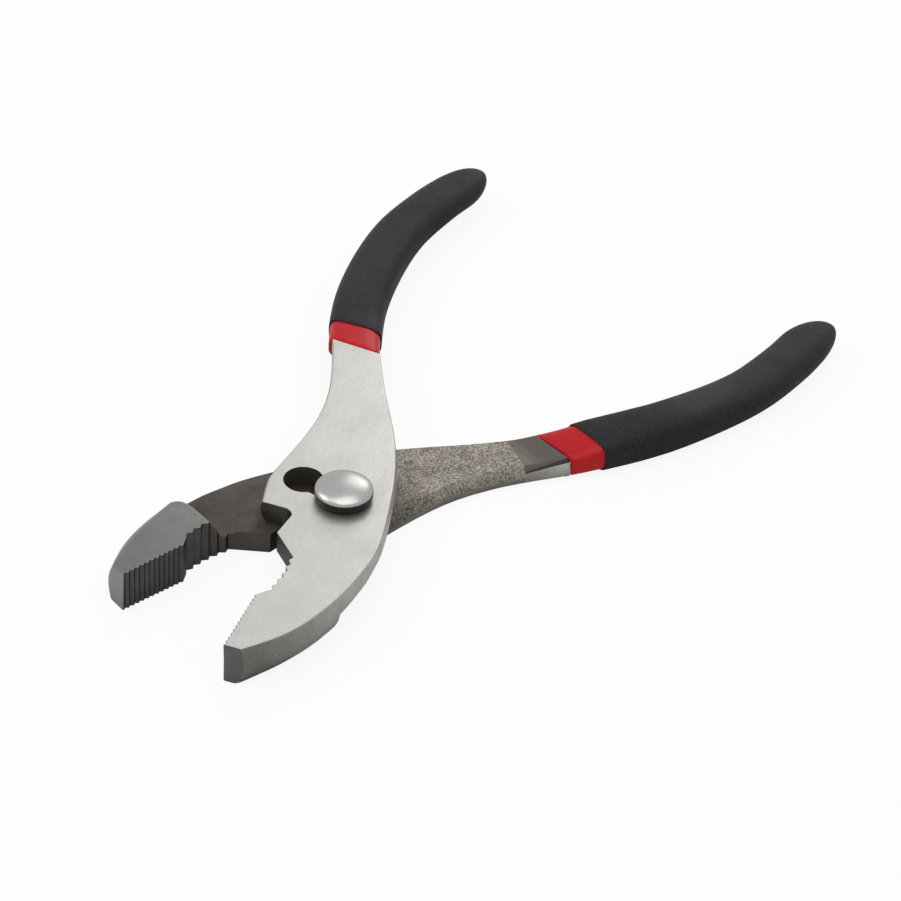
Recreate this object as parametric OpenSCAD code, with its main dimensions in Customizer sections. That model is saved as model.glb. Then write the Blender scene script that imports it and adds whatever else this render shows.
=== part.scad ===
// Slip joint pliers, lying on the lower half's ground face, jaws part open.
// The origin is on the bolt axis at the resting face, +X runs to the jaws and +Z is up.
// Both halves are the same forging: one lies ground face up, the other is turned over and has its bite
// ground back, so that the tips of the jaws meet first.

/* [Halves] */
// Reach of the jaw tip ahead of the bolt axis
jaw_reach = 58.8; // [54:0.1:64]
// Reach of the grip's end behind the bolt axis
handle_reach = 148.6; // [140:0.1:160]
// Height of the jaw's back above the teeth line
jaw_height = 19.7; // [18:0.1:22]
// Depth of the joint's lower edge below the teeth line
joint_drop = 12.9; // [12.2:0.1:14.5]
// Thickness over the two ground faces
tool_t = 11.1; // [10.4:0.1:13]
// Thickness of the web between the nose and the grip
web_t = 4.8; // [4.4:0.1:5.2]
// Thickness of the neck where it enters the grip
neck_t = 5.7; // [5.4:0.1:6.4]
// How much each ground face falls away by the jaw tip
tip_fall = 0.25; // [0.1:0.05:1]
// Where the ground face starts to fall along the handle, behind the bolt
fall_x = 9; // [8:0.1:20]
// How much the ground face falls by the grip
neck_fall = 0.6; // [0.2:0.1:1]
// Angle between the two teeth lines as the tool lies
rest_angle = 32.3; // [25:0.1:45]

/* [Jaw] */
// Where the ground faces start to fall away, ahead of the bolt
taper_x = 42; // [38:0.1:48]
// Where the fine teeth end and the pipe grip starts, ahead of the bolt
front_x = 40.7; // [39:0.1:43]
// Length of the pipe grip's steep front
riser_run = 2.4; // [1.5:0.1:4]
// Radius of the hollow pipe grip
pipe_r = 30; // [24:0.1:40]
// Centre of the pipe grip, ahead of the bolt
pipe_x = 30.8; // [29:0.1:32]
// Depth of the pipe grip behind the teeth line
pipe_depth = 2.8; // [2:0.1:4.5]
// Where the pipe grip ends and the cutter's edge starts, ahead of the bolt
cutter_x = 24; // [22.5:0.1:26]
// Point of the wire cutter, ahead of the bolt
cutter_tip_x = 18.1; // [16:0.1:20]
// Drop of the cutter's point past the teeth line
cutter_drop = 3.7; // [2.5:0.1:4.4]
// Width of the ground strip along the cutter's edge
cutter_land_w = 3; // [1.5:0.1:4]
// Front of the joint under the cutter's notch, ahead of the bolt
notch_x = 9; // [7.5:0.1:11]
// Drop of the notch's roof past the teeth line
notch_drop = 2.9; // [2:0.1:3.6]
// Corner radius of the cutter's notch
notch_r = 2.6; // [1:0.1:4]
// Angle by which the lower jaw's bite is ground back about its tip
bite_turn = 2.8; // [0:0.1:4]
// How much shorter the lower jaw is ground
lower_trim = 1.1; // [0:0.1:2]
// Shoulder where the nose takes its full thickness, ahead of the bolt
shoulder_x = 31; // [29:0.1:34]
// Length of the shoulder's slope down to the web
shoulder_slope = 3.6; // [1:0.1:5]
// Corner radius of the shoulder at the jaw's back
shoulder_r = 3.5; // [1:0.1:5]
// Pitch of the fine teeth on the straight front
fine_pitch = 1.3; // [0.9:0.05:2]
// Depth of the fine teeth
fine_depth = 0.55; // [0.2:0.05:0.8]
// Pitch of the coarse teeth in the pipe grip
coarse_pitch = 2.4; // [1.6:0.1:4]
// Depth of the coarse teeth
coarse_depth = 0.9; // [0.4:0.05:1.2]

/* [Slip joint] */
// Distance of the bolt axis from the teeth line
pivot_offset = 5.7; // [5.2:0.1:6.2]
// Distance across the slot between its two holes, square to the teeth line
slip_across = 11; // [10:0.1:11.5]
// How far the second hole lies behind the first
slip_back = 2.4; // [0:0.1:3.5]
// Diameter of the slot's two holes
slot_d = 9.6; // [8.6:0.1:10.2]
// Width of the slot's neck
slot_neck = 6.5; // [5:0.1:7.5]
// Running clearance of the bolt in its holes, on the radius
run_clear = 0.05; // [0.02:0.01:0.1]
// Gap between the two lapped faces
lap_gap = 0.06; // [0.02:0.01:0.2]
// Radius of the ground land round the bolt
land_r = 19.8; // [18:0.1:21]

/* [Bolt] */
// Diameter of the bolt's head
head_d = 13.8; // [12.5:0.1:15]
// Height of the head's straight rim
head_rim = 1.4; // [0.6:0.1:2.4]
// Height of the head's dome above its rim
dome_h = 1.9; // [1:0.1:3]
// Diameter of the threaded end
thread_d = 6; // [5:0.1:6.2]
// Outer diameter of the washer
washer_d = 13.2; // [12:0.1:14]
// Thickness of the washer
washer_t = 0.8; // [0.5:0.1:1.5]
// Width of the nut across its flats
nut_af = 13; // [11:0.1:13.4]
// Thickness of the nut
nut_t = 2.4; // [1.6:0.1:2.8]
// Diameter of the nut's pocket
pocket_d = 15.8; // [15.6:0.1:17]
// Depth of the nut's face inside its pocket
nut_sink = 0.1; // [0:0.05:0.4]

/* [Grips] */
// Thickness of the grip at its thickest, flush with the ground face
grip_t = 9.3; // [9:0.1:10]
// Width of the grip at its widest
grip_w = 14; // [13.2:0.1:15]
// Furthest drop of the grip's middle past the teeth line
grip_drop = 22.2; // [21:0.1:23.5]
// Front of the red coat, behind the bolt
collar_x = 57.2; // [55:0.1:60]
// How far the grip falls below the ground face by its end
end_fall = 1.1; // [0:0.1:2]
// Lean of the coats' front edges off square to the tool
dip_lean = 5; // [0:0.5:10]
// Thickness of the two coats together
coat_t = 1.6; // [1.5:0.05:1.8]
// How far the black coat stands over the red one
step_t = 0.4; // [0.2:0.05:0.6]
// Length of red left showing in front of the black
red_show = 8; // [4:0.1:14]
// Length of the rounded end
end_round = 14; // [10:0.1:17]
// Rounding of the black coat's front lip
lip_t = 0.6; // [0.2:0.1:1]
// Gap between one coat and the next
coat_gap = 0.03; // [0.01:0.01:0.05]

/* [Hidden] */
$fn = 96;

// One overrun serves all cuts
over = 2;
// Slices of a curve between two of its points
curve_steps = 3;
// Points up one side of a forged section
side_steps = 7;
// Points round a grip's section
grip_points = 20;

// Edge of the ground face along the jaw's back, from the tip: place ahead of the bolt as a share of
// jaw_reach, height over the teeth line as a share of jaw_height, and as shares of tool_t the bulge of
// the forged side and the draw-in at the face below it
back_shares = [
    [1.000, 0.198, 0.11, 0.05], [0.959, 0.310, 0.13, 0.09], [0.893, 0.480, 0.15, 0.15],
    [0.810, 0.645, 0.16, 0.19], [0.707, 0.784, 0.15, 0.20], [0.590, 0.888, 0.10, 0.16],
    [0.456, 0.964, 0.05, 0.06], [0.321, 1.000, 0.04, 0.03], [0.187, 0.975, 0.05, 0.02],
    [0.000, 0.858, 0.06, 0.02],
];
// The same edge behind the bolt, with the place as a share of collar_x
neck_back_shares = [
    [-0.174, 0.731, 0.06, 0.03], [-0.351, 0.553, 0.06, 0.04], [-0.525, 0.325, 0.06, 0.05],
    [-0.751, -0.022, 0.06, 0.06], [-0.927, -0.266, 0.05, 0.04], [-1.101, -0.490, 0.04, 0.02],
];
// Lower edge of the joint and the neck: place as a share of collar_x, drop as a share of joint_drop
neck_inner_shares = [
    [0.260, 0.800], [0.151, 0.853], [0.000, 1.000], [-0.140, 0.946], [-0.314, 0.868], [-0.488, 0.853],
    [-0.665, 0.969], [-0.839, 1.209], [-0.998, 1.480], [-1.120, 1.660],
];
// Middle line of the grip: place behind the collar as a share of the grip's length, drop as a share of
// grip_drop
grip_line_shares = [
    [-0.078, 0.490], [0.075, 0.722], [0.249, 0.918], [0.436, 1.003], [0.610, 0.986],
    [0.774, 0.842], [0.894, 0.680], [1.000, 0.572],
];
// Width of the grip at those points, as a share of grip_w
grip_width_shares = [0.97, 0.97, 0.96, 0.96, 0.96, 0.95, 0.92, 0.86];
// How the web thickens into the neck: place as a share of collar_x, rise as a share of the whole
ramp_shares = [[0.985, 1.00], [0.965, 0.72], [0.94, 0.38], [0.91, 0.12], [0.875, 0.00]];
// Thickness of the grip along its run from collar to end, as a share of grip_t
grip_thick_shares = [
    [0, 0.71], [0.05, 0.77], [0.1, 0.85], [0.15, 0.93], [0.22, 0.98], [0.3, 1], [0.45, 0.94], [0.7, 0.79],
    [1, 0.7],
];
// How the grip falls along the same run, as a share of end_fall
grip_fall_shares = [[0, 0], [0.35, 0], [0.7, 0.55], [1, 1]];
// Roundness of the grip's section at its front and at its end: 1 is an ellipse, less is squarer
grip_square_shares = [0.5, 0.85];
// Part of the grip's run over which its sections turn from square to the tool to square to the grip
dip_turn_share = 0.5;
// How far a forged side's section runs past its flat faces, as a share of half its thickness
side_over_share = 1.2;
// How much more the forged section draws in at its lower edge than at the back
inner_draw_share = 3;
// Height of the shoulder's corner up the jaw, as a share of jaw_height
shoulder_corner_share = 0.63;
// Place of a coarse tooth's root along its pitch
coarse_lean_share = 0.45;
// Core's end ahead of the grip's end, as a share of end_round
core_end_share = 0.5;

function mix(a, b, t) = a + (b - a) * t;

shank_r = slot_d / 2 - run_clear;
flats_w = slot_neck - 2 * run_clear;
lap_z = tool_t / 2 + lap_gap / 2;
slip_len = norm([slip_back, slip_across]);
slip_turn = atan2(slip_across, slip_back);
washer_z = tool_t + run_clear;
head_z = washer_z + washer_t + run_clear;
nut_z = nut_sink + nut_t;
ramp = [for (p = ramp_shares) [-collar_x * p[0], mix(web_t, neck_t, p[1])]];
neck_end = -collar_x - over;
lap_t = tool_t - lap_z;
pipe_y = pipe_depth - pipe_r;
riser_x = front_x - riser_run;
function pipe_angle(x) = acos((x - pipe_x) / pipe_r);
cutter_y = pipe_y + pipe_r * sin(pipe_angle(cutter_x));

// Smooth curve through points, with steps slices between each two
function through(p, i, t) = let (
    last = len(p) - 1,
    a = p[max(i - 1, 0)],
    b = p[i],
    c = p[i + 1],
    d = p[min(i + 2, last)]
) (2 * b + (c - a) * t + (2 * a - 5 * b + 4 * c - d) * pow(t, 2)
    + (3 * b - a - 3 * c + d) * pow(t, 3)) / 2;
function curve(p, steps) = [
    for (i = [0 : len(p) - 2], k = [0 : steps - 1]) through(p, i, k / steps),
    p[len(p) - 1],
];

// Solid skin over a row of rings with the same number of points
module loft(rings) {
    count = len(rings[0]);
    last = (len(rings) - 1) * count;
    sides = [
        for (k = [0 : len(rings) - 2], i = [0 : count - 1])
            let (a = k * count + i, b = k * count + (i + 1) % count)
                each [[a, b, a + count], [b, b + count, a + count]],
    ];
    front = [for (i = [count - 1 : -1 : 0]) i];
    back = [for (i = [0 : count - 1]) last + i];
    polyhedron(points = [for (r = rings) each r], faces = concat([front], sides, [back]), convexity = 8);
}

// Side profile, given along X and Z, run right across the tool
module across(profile) {
    reach = jaw_height + grip_drop + grip_w;
    translate([0, reach, 0])
        rotate([90, 0, 0])
            linear_extrude(2 * reach)
                polygon(profile);
}

back_edge = curve(concat(
    [for (p = back_shares) [p[0] * jaw_reach, p[1] * jaw_height, p[2] * tool_t, p[3] * tool_t]],
    [for (p = neck_back_shares) [p[0] * collar_x, p[1] * jaw_height, p[2] * tool_t, p[3] * tool_t]]
), curve_steps);
inner_edge = curve(
    [for (p = neck_inner_shares) [p[0] * collar_x, -p[1] * joint_drop]], curve_steps
);
// Thickness of the forging along the tool, from the neck to the nose, before the web is relieved
thickness = concat(
    [for (p = ramp) [p[0], max(p[1], lap_t)]],
    [[cutter_tip_x, lap_t], [shoulder_x - shoulder_slope, tool_t]]
);

// Section of the forging at one point of the back edge: both sides bulge between the flat faces and draw
// in at the lower one
function side_out(p, u, draw) = p[2] * (1 - pow(u, 2)) - draw * p[3] * pow((side_over_share - u) / 2, 3);
function forged_ring(p) = let (
    half_t = lookup(p[0], thickness) / 2,
    inner = lookup(p[0], inner_edge),
    rise = [for (i = [0 : side_steps]) side_over_share * (2 * i / side_steps - 1)]
) concat(
    [for (u = rise) [p[0], p[1] + side_out(p, u, 1), tool_t - half_t * (1 - u)]],
    [for (u = rise) [p[0], inner - side_out(p, -u, inner_draw_share), tool_t - half_t * (1 + u)]]
);

// Outline cut out of the jaw: fine teeth, pipe grip, cutter edge and notch
fine_count = floor((jaw_reach - front_x) / fine_pitch);
fine_step = (jaw_reach - front_x) / fine_count;
riser_angle = pipe_angle(riser_x);
pipe_sweep = pipe_angle(cutter_x) - riser_angle;
coarse_count = floor(pipe_sweep * PI / 180 * pipe_r / coarse_pitch);
coarse_step = pipe_sweep / coarse_count;
function pipe_point(angle, depth) = [
    pipe_x + (pipe_r + depth) * cos(angle),
    pipe_y + (pipe_r + depth) * sin(angle),
];
jaw_cut = concat(
    [[jaw_reach + over, -2 * joint_drop], [jaw_reach + over, 0]],
    [for (i = [0 : fine_count - 1], half = [0, 1])
        [jaw_reach - (i + half / 2) * fine_step, half * fine_depth]],
    [[front_x, 0]],
    [for (i = [0 : coarse_count - 1], root = [0, 1])
        pipe_point(riser_angle + (i + root * coarse_lean_share) * coarse_step, root * coarse_depth)],
    [[cutter_x, cutter_y], [cutter_tip_x, -cutter_drop]],
    [for (a = [90 : 15 : 180])
        [notch_x + notch_r * (1 + cos(a)), -notch_drop - notch_r * (1 - sin(a))]],
    [[notch_x, -2 * joint_drop]]
);

// Turns a jaw's bite back about the tip
module bite(turn) {
    translate([jaw_reach, 0, 0])
        rotate(-turn)
            translate([-jaw_reach, 0, 0])
                children();
}

// Metal forged away under the web and the neck, up to the shoulder's slope and its rounded corner
module relief() {
    corner = shoulder_corner_share * jaw_height;
    web_z = tool_t - web_t;
    across(concat(
        [[neck_end, -over], [neck_end, tool_t - neck_t]],
        [for (p = ramp) [p[0], tool_t - p[1]]],
        [[shoulder_x - shoulder_slope, web_z], [shoulder_x, 0], [shoulder_x, -over]]
    ));
    translate([shoulder_x - shoulder_slope, corner, -over])
        linear_extrude(web_z + over)
            difference() {
                square([shoulder_slope + shoulder_r, jaw_height]);
                translate([shoulder_slope + shoulder_r, 0])
                    circle(shoulder_r);
            }
}

// Raised flat that laps on the other half: a disc round each hole and a strip along the cutter's edge
module land(holes, turn) {
    edge = [cutter_x - cutter_tip_x, cutter_y + cutter_drop];
    in = [-edge[1], edge[0]] * cutter_land_w / norm(edge);
    translate([0, 0, lap_z])
        linear_extrude(tool_t - lap_z) {
            for (hole = holes)
                translate(hole)
                    circle(land_r);
            bite(turn)
                translate([cutter_tip_x, -cutter_drop])
                    polygon([[0, 0], edge, edge + in, in]);
        }
}

// Middle line of the grip, with the width of the grip at each point
grip_line = curve([
    for (i = [0 : len(grip_line_shares) - 1]) [
        -mix(collar_x, handle_reach, grip_line_shares[i][0]),
        -grip_line_shares[i][1] * grip_drop,
        grip_width_shares[i] * grip_w,
    ]
], curve_steps);
function run(p, i) = i == 0 ? 0 : run(p, i - 1) + norm([p[i][0] - p[i - 1][0], p[i][1] - p[i - 1][1]]);
grip_runs = [for (i = [0 : len(grip_line) - 1]) run(grip_line, i)];
grip_run = grip_runs[len(grip_runs) - 1];
function grip_at(s) = [
    for (k = [0 : 2]) lookup(s, [for (i = [0 : len(grip_line) - 1]) [grip_runs[i], grip_line[i][k]]])
];
function run_at(x) = lookup(x, [for (i = [len(grip_line) - 1 : -1 : 0]) [grip_line[i][0], grip_runs[i]]]);
collar_run = run_at(-collar_x);
black_run = run_at(-collar_x - red_show);
function clamp(t) = min(max(t, 0), 1);

// Section of a coat or of the core, at a run along the middle line and sunk below the black surface
function grip_ring(s, sink, end) = let (
    p = grip_at(s),
    ahead = grip_at(max(s - end_round / 4, 0)) - grip_at(min(s + end_round / 4, grip_run)),
    square = [-ahead[1], ahead[0]] / norm([ahead[0], ahead[1]]),
    lean = [sin(dip_lean), cos(dip_lean)],
    turned = mix(lean, square, clamp((s - collar_run) / grip_run / dip_turn_share)),
    side = turned / (turned * square),
    thin = clamp((s - collar_run) / (grip_run - end_round - collar_run)),
    full_t = grip_t * lookup(thin, grip_thick_shares),
    middle = tool_t - full_t / 2 - end_fall * lookup(thin, grip_fall_shares),
    power = mix(grip_square_shares[0], grip_square_shares[1], thin),
    past = max(0, (s - end + end_round) / end_round),
    round = sqrt(max(0, 1 - pow(past, 2))),
    half_w = (p[2] / 2 - sink) * round,
    half_t = (full_t / 2 - sink) * round
) [for (i = [0 : grip_points - 1])
    let (a = 360 * i / grip_points, c = cos(a), n = sin(a))
        let (y = sign(c) * pow(abs(c), power), z = sign(n) * pow(abs(n), power))
            [p[0] + side[0] * half_w * y, p[1] + side[1] * half_w * y, middle + half_t * z]];

// Solid along the grip from one run to its rounded end, sunk below the black surface
end_slices = [0.25, 0.5, 0.7, 0.84, 0.93, 0.98, 0.998];
body_slices = 14;
// Runs at which the core and both coats all have a section, so that each skin follows the next
stations = [for (i = [0 : body_slices]) mix(collar_run, grip_run - end_round - coat_t, i / body_slices)];
module grip_solid(start, sink, lip) {
    end = grip_run - sink;
    straight = end - end_round;
    loft(concat(
        lip > 0 ? [grip_ring(start, sink + lip / 2, end)] : [],
        [grip_ring(start + lip, sink, end)],
        [for (s = stations) if (s > start + lip) grip_ring(s, sink, end)],
        [for (e = end_slices) grip_ring(straight + e * end_round, sink, end)]
    ));
}

// Handle core that the coats grip, from inside the neck to short of the end
module core() {
    intersection() {
        grip_solid(collar_run - over / 2, coat_t, over);
        translate([-handle_reach + end_round * core_end_share, -2 * grip_drop, 0])
            cube([handle_reach, 2 * grip_drop + jaw_height, tool_t]);
    }
}

// One forging, teeth line along X, bolt at X = 0, ground face up, with the given holes' lands, its bite
// turned back and its tip ground shorter
module forging(holes, turn, trim) {
    end_x = jaw_reach + over;
    all_t = tool_t + 2 * over;
    fall = tip_fall * (end_x - taper_x) / (jaw_reach - taper_x);
    difference() {
        intersection() {
            loft([for (p = back_edge) forged_ring(p)]);
            across([
                [neck_end, 0], [taper_x, 0], [end_x, fall], [end_x, tool_t - fall],
                [taper_x, tool_t], [-fall_x, tool_t], [neck_end, tool_t - neck_fall],
            ]);
        }
        translate([0, 0, -over])
            linear_extrude(all_t)
                bite(turn)
                    polygon(jaw_cut);
        if (trim > 0)
            translate([jaw_reach - trim, -jaw_height, -over])
                cube([jaw_reach, 2 * jaw_height, all_t]);
        translate([-collar_x, grip_at(collar_run)[1], -over])
            rotate(-dip_lean)
                translate([-collar_x, -grip_drop, 0])
                    cube([collar_x, 2 * grip_drop, all_t]);
        difference() {
            relief();
            land(holes, turn);
        }
    }
    core();
}

module place_upper() {
    rotate(rest_angle / 2)
        translate([0, -pivot_offset, 0])
            children();
}

module place_lower() {
    rotate(-rest_angle / 2)
        translate([0, -pivot_offset, tool_t])
            rotate([180, 0, 0])
                children();
}

// Round bar with two flats, standing on z = 0, flats along the slot
module keyed(r, flats, h) {
    intersection() {
        cylinder(r = r, h = h);
        translate([-r - over, -flats / 2, 0])
            cube([2 * (r + over), flats, h]);
    }
}

module upper_half() {
    near = [0, pivot_offset];
    far = near - [slip_back, slip_across];
    color("gainsboro")
        place_upper()
            difference() {
                forging([near, far], 0, 0);
                for (hole = [near, far])
                    translate([hole[0], hole[1], -over])
                        cylinder(d = slot_d, h = tool_t + 2 * over);
                translate([far[0], far[1], -over])
                    rotate(slip_turn)
                        translate([0, -slot_neck / 2, 0])
                            cube([slip_len, slot_neck, tool_t + 2 * over]);
            }
}

module lower_half() {
    color("dimgray")
        difference() {
            place_lower()
                forging([[0, -pivot_offset]], bite_turn, lower_trim);
            translate([0, 0, -over])
                cylinder(d = pocket_d, h = over + nut_z);
            rotate(rest_angle / 2 + slip_turn)
                keyed(shank_r + run_clear, slot_neck, tool_t);
        }
}

module pivot_bolt() {
    color("silver") {
        translate([0, 0, head_z])
            rotate_extrude()
                polygon(concat(
                    [[0, 0], [head_d / 2, 0]],
                    [for (a = [0 : 7.5 : 90]) [head_d / 2 * cos(a), head_rim + dome_h * sin(a)]]
                ));
        translate([0, 0, tool_t])
            cylinder(r = shank_r, h = head_z + head_rim / 2 - tool_t);
        translate([0, 0, nut_z])
            rotate(rest_angle / 2 + slip_turn)
                keyed(shank_r, flats_w, head_z - nut_z);
        translate([0, 0, nut_sink])
            cylinder(d = thread_d, h = tool_t / 2);
    }
}

module pivot_washer() {
    color("darkslategray")
        translate([0, 0, washer_z])
            difference() {
                cylinder(d = washer_d, h = washer_t);
                translate([0, 0, -over])
                    cylinder(r = shank_r + run_clear, h = washer_t + 2 * over);
            }
}

module pivot_nut() {
    color("slategray")
        translate([0, 0, nut_sink])
            difference() {
                rotate(-rest_angle / 2)
                    cylinder(d = nut_af / cos(30), h = nut_t, $fn = 6);
                translate([0, 0, -over])
                    cylinder(d = thread_d + 2 * run_clear, h = nut_t + 2 * over);
            }
}

// Red coat next to the steel, showing as a collar
module liner() {
    difference() {
        grip_solid(collar_run, step_t, 0);
        grip_solid(collar_run - over, coat_t - coat_gap, 0);
    }
}

// Black coat over the red one
module coat() {
    difference() {
        grip_solid(black_run, 0, lip_t);
        grip_solid(black_run - over, step_t - coat_gap, 0);
    }
}

module upper_grip() {
    color([0.16, 0.16, 0.17])
        place_upper()
            coat();
}

module upper_grip_liner() {
    color([0.75, 0.1, 0.13])
        place_upper()
            liner();
}

module lower_grip() {
    color([0.16, 0.16, 0.17])
        place_lower()
            coat();
}

module lower_grip_liner() {
    color([0.75, 0.1, 0.13])
        place_lower()
            liner();
}

upper_half();
lower_half();
pivot_bolt();
pivot_washer();
pivot_nut();
upper_grip();
upper_grip_liner();
lower_grip();
lower_grip_liner();
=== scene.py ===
"""Looks of the slip joint pliers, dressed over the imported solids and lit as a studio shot."""

import logging
import math
from dataclasses import dataclass, field
from enum import Enum
from typing import Any, Callable, Mapping, Optional, Sequence

import bmesh
import bpy
from mathutils import Matrix, Vector
from mathutils.bvhtree import BVHTree


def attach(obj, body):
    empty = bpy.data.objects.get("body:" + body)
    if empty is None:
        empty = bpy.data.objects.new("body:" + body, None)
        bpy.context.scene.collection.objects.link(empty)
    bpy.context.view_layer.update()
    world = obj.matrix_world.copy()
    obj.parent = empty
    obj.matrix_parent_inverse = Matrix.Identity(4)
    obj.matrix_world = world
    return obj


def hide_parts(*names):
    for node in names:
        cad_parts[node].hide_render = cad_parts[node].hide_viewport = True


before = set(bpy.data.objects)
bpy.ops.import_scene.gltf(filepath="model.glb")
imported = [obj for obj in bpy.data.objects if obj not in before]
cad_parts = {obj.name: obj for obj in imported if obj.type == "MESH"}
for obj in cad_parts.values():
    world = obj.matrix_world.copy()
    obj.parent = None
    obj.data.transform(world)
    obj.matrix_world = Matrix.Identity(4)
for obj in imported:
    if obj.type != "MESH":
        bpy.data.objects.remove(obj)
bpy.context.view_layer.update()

LOG = logging.getLogger("pliers")

MM = 0.001
# The tool's own sizes, in millimetres and degrees
TOOL_T = 11.1
PIVOT_OFFSET = 5.7
SLIP_ACROSS = 11.0
SLIP_BACK = 2.4
REST_ANGLE = 32.3
COLLAR_X = 57.2
RED_SHOWN = 8.0


class Region(Enum):
    """Parts of a forging that take different finishes; some differ only by painted light and shade."""

    GROUND = 0
    NOSE = 1
    WEB = 2
    NECK = 3
    RAMP = 4
    TOOTH = 5
    FLANK = 6
    SIDE = 7
    TIP = 8
    BORE = 9
    EDGE = 10
    CREASE = 11
    ROLL = 12


def linear(code: str) -> tuple[float, float, float, float]:
    """Turn an sRGB hex colour into linear light.

    Args:
        code: Six hex digits after a hash sign.

    Returns:
        Red, green, blue and a full alpha.
    """
    parts = [int(code[i:i + 2], 16) / 255 for i in (1, 3, 5)]
    light = [c / 12.92 if c <= 0.04045 else ((c + 0.055) / 1.055) ** 2.4 for c in parts]
    return (light[0], light[1], light[2], 1.0)


def per_mm(size: float) -> float:
    """Texture scale, in turns per metre, of a pattern that repeats every size millimetres."""
    return 1.0 / (size * MM)


def add(
    tree: bpy.types.NodeTree,
    kind: str,
    settings: Optional[Mapping[str, Any]] = None,
    inputs: Optional[Mapping[Any, Any]] = None,
) -> bpy.types.Node:
    """Add one node with its settings and its links.

    Args:
        tree: Node tree that gets the node.
        kind: Blender's name for the node's type.
        settings: Attributes to set on the node.
        inputs: For each input, by name or number, a value or the output that feeds it.

    Returns:
        The new node.
    """
    node = tree.nodes.new(kind)
    for key, value in (settings or {}).items():
        setattr(node, key, value)
    for key, value in (inputs or {}).items():
        if isinstance(value, bpy.types.NodeSocket):
            tree.links.new(value, node.inputs[key])
        else:
            node.inputs[key].default_value = value
    return node


def blank_material(name: str) -> tuple[bpy.types.Material, bpy.types.NodeTree, bpy.types.Node]:
    """Start a node material with a Principled shader on its output.

    Args:
        name: Name of the material.

    Returns:
        The material, its tree and the shader node.
    """
    material = bpy.data.materials.new(name)
    material.use_nodes = True
    tree = material.node_tree
    tree.nodes.clear()
    shader = add(tree, "ShaderNodeBsdfPrincipled")
    add(tree, "ShaderNodeOutputMaterial", None, {"Surface": shader.outputs["BSDF"]})
    return material, tree, shader


@dataclass(frozen=True)
class SteelFinish:
    """A steel surface: a two-tone grain, a broader mottle, small pits and a matching bump.

    The grain may be drawn out along one direction, as grinding lines are, and the tone may fade along
    the half, from one place on it to another.
    """

    name: str
    dark: str
    light: str
    roughness: tuple[float, float]
    grain_mm: float
    mottle_mm: float
    bump_mm: float
    draw_out: float = 1.0
    turn_deg: float = 0.0
    mottle_share: float = 0.5
    spread: float = 0.2
    pit_mm: float = 0.0
    pit_share: float = 0.0
    pit_tone: float = 0.45
    lie_deg: float = 0.0
    fade_mm: tuple[float, float] = (0.0, 0.0)
    fade_shares: tuple[float, float] = (1.0, 1.0)

    def make(self) -> bpy.types.Material:
        """Build the material's nodes.

        Returns:
            The finished material.
        """
        material, tree, shader = blank_material(self.name)
        place = add(tree, "ShaderNodeTexCoord")
        lines = add(tree, "ShaderNodeMapping", None, {
            "Vector": place.outputs["Object"],
            "Rotation": (0.0, 0.0, -math.radians(self.turn_deg)),
        })
        drawn = add(tree, "ShaderNodeVectorMath", {"operation": "MULTIPLY"}, {
            0: lines.outputs["Vector"],
            1: (1.0 / self.draw_out, 1.0, 1.0),
        })
        grain = add(tree, "ShaderNodeTexNoise", None, {
            "Vector": drawn.outputs["Vector"], "Scale": per_mm(self.grain_mm), "Detail": 3.0,
        })
        mottle = add(tree, "ShaderNodeTexNoise", None, {
            "Vector": place.outputs["Object"], "Scale": per_mm(self.mottle_mm), "Detail": 4.0,
        })
        tone = add(tree, "ShaderNodeMix", {"data_type": "FLOAT"}, {
            0: self.mottle_share, 2: grain.outputs["Fac"], 3: mottle.outputs["Fac"],
        })
        spread = add(tree, "ShaderNodeMapRange", None, {
            "Value": tone.outputs[0], "From Min": 0.5 - self.spread, "From Max": 0.5 + self.spread,
        })
        colour = add(tree, "ShaderNodeMix", {"data_type": "RGBA"}, {
            0: spread.outputs["Result"], 6: linear(self.dark), 7: linear(self.light),
        })
        rough = add(tree, "ShaderNodeMapRange", None, {
            "Value": tone.outputs[0], "From Min": 0.5 - self.spread, "From Max": 0.5 + self.spread,
            "To Min": self.roughness[1], "To Max": self.roughness[0],
        })
        base = colour.outputs[2]
        height = grain.outputs["Fac"]
        if self.pit_share > 0.0:
            cells = add(tree, "ShaderNodeTexVoronoi", None, {
                "Vector": place.outputs["Object"], "Scale": per_mm(self.pit_mm),
            })
            pits = add(tree, "ShaderNodeMapRange", None, {
                "Value": cells.outputs["Distance"], "From Min": 0.0, "From Max": self.pit_share,
                "To Min": self.pit_tone, "To Max": 1.0,
            })
            pitted = add(tree, "ShaderNodeMix", {"data_type": "RGBA", "blend_type": "MULTIPLY"}, {
                0: 1.0, 6: base, 7: pits.outputs["Result"],
            })
            base = pitted.outputs[2]
            height = add(tree, "ShaderNodeMath", {"operation": "MULTIPLY"}, {
                0: height, 1: pits.outputs["Result"],
            }).outputs["Value"]
        if self.fade_mm[0] != self.fade_mm[1]:
            lie = add(tree, "ShaderNodeMapping", None, {
                "Vector": place.outputs["Object"], "Rotation": (0.0, 0.0, -math.radians(self.lie_deg)),
            })
            along = add(tree, "ShaderNodeSeparateXYZ", None, {0: lie.outputs["Vector"]})
            fade = add(tree, "ShaderNodeMapRange", None, {
                "Value": along.outputs["X"],
                "From Min": self.fade_mm[0] * MM, "From Max": self.fade_mm[1] * MM,
                "To Min": self.fade_shares[0], "To Max": self.fade_shares[1],
            })
            base = add(tree, "ShaderNodeMix", {"data_type": "RGBA", "blend_type": "MULTIPLY"}, {
                0: 1.0, 6: base, 7: fade.outputs["Result"],
            }).outputs[2]
        bump = add(tree, "ShaderNodeBump", None, {
            "Height": height, "Strength": 1.0, "Distance": self.bump_mm * MM,
        })
        shader.inputs["Metallic"].default_value = 1.0
        tree.links.new(base, shader.inputs["Base Color"])
        tree.links.new(rough.outputs["Result"], shader.inputs["Roughness"])
        tree.links.new(bump.outputs["Normal"], shader.inputs["Normal"])
        return material


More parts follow.
